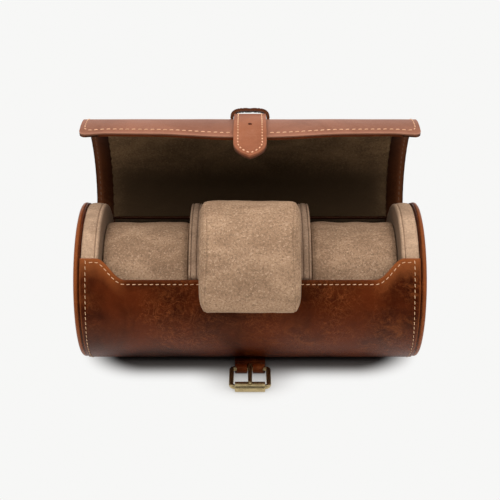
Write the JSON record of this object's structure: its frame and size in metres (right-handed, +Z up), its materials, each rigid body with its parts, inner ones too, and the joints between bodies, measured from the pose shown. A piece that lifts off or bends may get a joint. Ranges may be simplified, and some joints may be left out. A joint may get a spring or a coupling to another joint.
{
  "type": "watch travel case",
  "caption": "Round leather travel case for watches: tube body with padded ends, curved hinged lid, strap-and-buckle closure and removable suede cushions.",
  "frame": {"origin": "centre of the flat strip on the underside of the case, on the surface it stands on", "axes": "+X along the case toward its right end seen from the front, +Y toward the hinge at the back, +Z up; the front wall and buckle face -Y"},
  "size_m": [0.2154, 0.1301, 0.1573],
  "materials": {
    "body_leather": "dark cognac pull-up leather, waxed, semi-gloss",
    "lid_leather": "cognac pull-up leather, lighter where it is bent",
    "edge_leather": "dark brown leather facing, satin",
    "cushion_suede": "taupe suede, matt short nap",
    "lining_suede": "dark olive-brown suede, matt",
    "trim_suede": "taupe suede over padding, matt",
    "board": "pressed fibre board, plain",
    "foam": "upholstery foam, open cell",
    "antique_brass": "antique brass, worn satin",
    "thread": "cream waxed thread"
  },
  "bodies": {
    "case": {"body_leather": "body_leather", "body_board": "board", "body_lining": "lining_suede", "end_cap_left": "body_leather", "end_cap_right": "body_leather", "end_piping_left": "body_leather", "end_piping_right": "body_leather", "end_block_left": "trim_suede", "end_block_right": "trim_suede", "end_face_left": "trim_suede", "end_face_right": "trim_suede", "divider_board_left": "board", "divider_board_right": "board", "divider_cover_left": "trim_suede", "divider_cover_right": "trim_suede", "seat_left": "lining_suede", "seat_middle": "lining_suede", "seat_right": "lining_suede", "hinge_fold": "lining_suede", "buckle_anchor": "body_leather", "front_stitching": "thread"},
    "lid": {"lid_leather": "lid_leather", "lid_lining": "lining_suede", "lid_margin_left": "edge_leather", "lid_margin_right": "edge_leather", "lid_front_facing": "edge_leather", "lid_stitching": "thread", "strap_top": "lid_leather", "strap_backing": "edge_leather", "strap_keeper": "lid_leather"},
    "tab": {"tab_top": "lid_leather", "tab_backing": "edge_leather"},
    "strap": {"buckle_strap": "body_leather"},
    "buckle": {"buckle_frame": "antique_brass"},
    "roller": {"buckle_roller": "antique_brass"},
    "prong": {"buckle_prong": "antique_brass"},
    "cushion_left": {"cushion_left_wrap": "cushion_suede", "cushion_left_inner_side": "cushion_suede", "cushion_left_outer_side": "cushion_suede", "cushion_left_foam": "foam"},
    "cushion_middle": {"cushion_middle_wrap": "cushion_suede", "cushion_middle_left_side": "cushion_suede", "cushion_middle_right_side": "cushion_suede", "cushion_middle_foam": "foam"},
    "cushion_right": {"cushion_right_wrap": "cushion_suede", "cushion_right_inner_side": "cushion_suede", "cushion_right_outer_side": "cushion_suede", "cushion_right_foam": "foam"}
  },
  "joints": [
    {"name": "lid_hinge", "type": "hinge", "parent": "case", "child": "lid", "pos_m": [0, 0.04429, 0.07166], "axis": [1, 0, 0], "range_deg": [-8, 62.3]},
    {"name": "tab_flex", "type": "hinge", "parent": "lid", "child": "tab", "pos_m": [0, -0.01348, 0.15247], "axis": [1, 0, 0], "range_deg": [-35, 12], "stiffness_Nm_per_rad": 0.008},
    {"name": "buckle_strap_swing", "type": "hinge", "parent": "case", "child": "strap", "pos_m": [0, -0.0265, 0.00165], "axis": [-1, 0, 0], "range_deg": [0, 20]},
    {"name": "buckle_swing", "type": "hinge", "parent": "strap", "child": "buckle", "pos_m": [0, -0.03738, 0.00328], "axis": [-1, 0, 0], "range_deg": [0, 30]},
    {"name": "roller_spin", "type": "hinge", "parent": "buckle", "child": "roller", "pos_m": [0, -0.05998, 0.00328], "axis": [1, 0, 0], "continuous": true},
    {"name": "prong_swing", "type": "hinge", "parent": "buckle", "child": "prong", "pos_m": [0, -0.03738, 0.00328], "axis": [1, 0, 0], "range_deg": [-40, 0]},
    {"name": "cushion_left_lift", "type": "slide", "parent": "case", "child": "cushion_left", "axis": [0, -0.1392, -0.9903], "range_m": [-0.055, 0]},
    {"name": "cushion_right_lift", "type": "slide", "parent": "case", "child": "cushion_right", "axis": [0, -0.1392, -0.9903], "range_m": [-0.055, 0]},
    {"name": "cushion_middle_slide", "type": "slide", "parent": "case", "child": "cushion_middle", "axis": [0, 0.7868, -0.6172], "range_m": [-0.006, 0.04519], "deforming": ["cushion_middle_wrap", "cushion_middle_left_side", "cushion_middle_right_side", "cushion_middle_foam"]}
  ],
  "couplings": [
    {"joint": "cushion_middle_slide", "follows": "lid_hinge", "m_per_rad": 0.041467}
  ]
}
